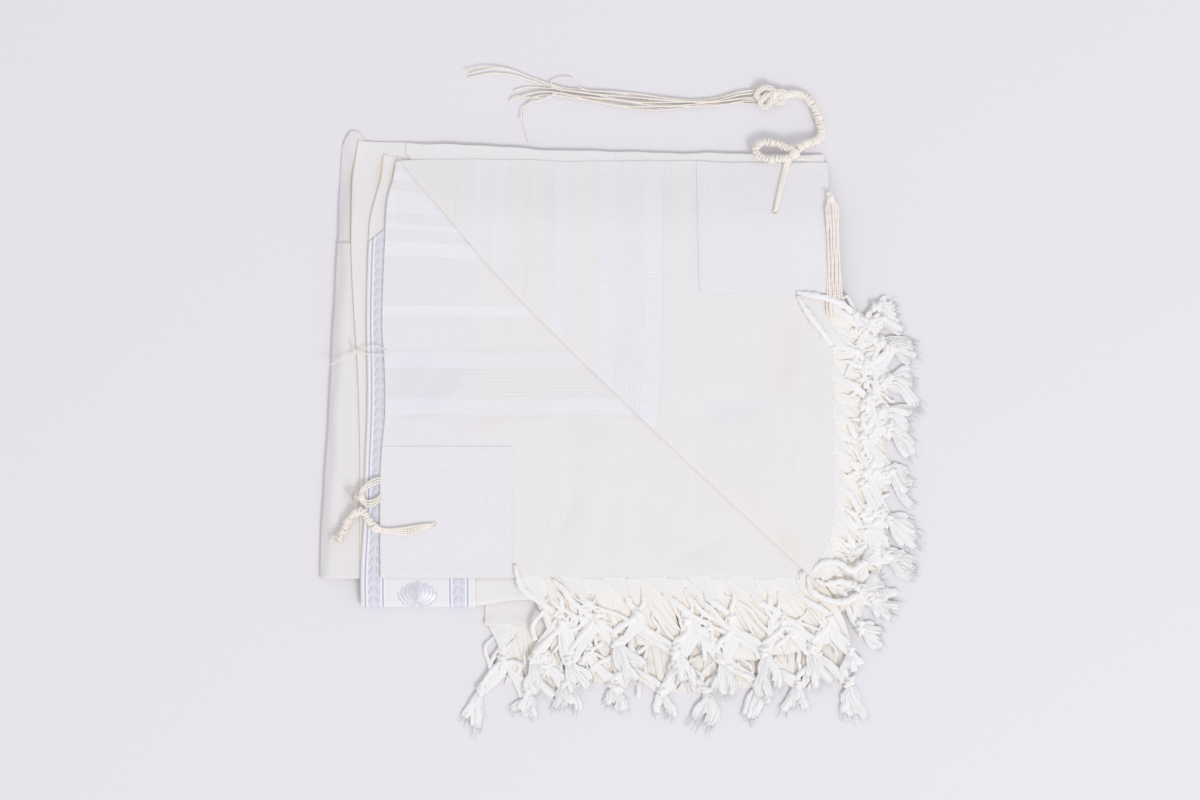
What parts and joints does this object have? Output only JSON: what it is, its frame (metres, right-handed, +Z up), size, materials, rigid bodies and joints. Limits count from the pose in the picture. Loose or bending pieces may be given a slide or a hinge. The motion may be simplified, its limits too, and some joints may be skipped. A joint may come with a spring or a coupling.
{
  "type": "folded tallit prayer shawl",
  "caption": "White tallit prayer shawl folded flat in a square pile, corners turned back on the diagonal, with brocade neckband, corner patches, knotted fringe and wound tassels.",
  "frame": {"origin": "centre of the folded shawl's plan box, on the surface that it lies on", "axes": "+Z up; +Y away from a reader who faces the fringed lower edge, towards the upper corner tassel; +X to the reader's right, towards the fringe of the turned-back corner"},
  "size_m": [0.5465, 0.5898, 0.0204],
  "materials": {
    "body_cloth": "fine translucent off-white wool with a faint plaid weave",
    "striped_cloth": "off-white wool with woven white satin stripes and ribbed bands",
    "patch_satin": "plain matt white cotton sateen, edge-stitched",
    "neckband_brocade": "white satin ribbon with pale blue and silver woven leaf borders",
    "fringe_yarn": "white twisted wool yarn, knotted, with brushed ends",
    "tzitzit_wool": "cream plied wool string"
  },
  "bodies": {
    "root": {"hidden_layers": "body_cloth", "outer_fold": "body_cloth", "outer_fold_overlay": "body_cloth", "second_layer": "body_cloth", "neckband_layer": "body_cloth", "neckband": "neckband_brocade", "lower_panel": "striped_cloth", "lower_patch": "patch_satin", "lowest_layer": "body_cloth", "turned_corner_under": "striped_cloth", "turned_corner": "striped_cloth", "upper_patch": "patch_satin", "fringe_panel": "fringe_yarn", "fringe_lower": "fringe_yarn", "fringe_flap": "fringe_yarn", "tzitzit_upper": "tzitzit_wool", "tzitzit_lower": "tzitzit_wool", "tzitzit_lower_loop": "tzitzit_wool", "tzitzit_side": "tzitzit_wool"}
  },
  "joints": []
}
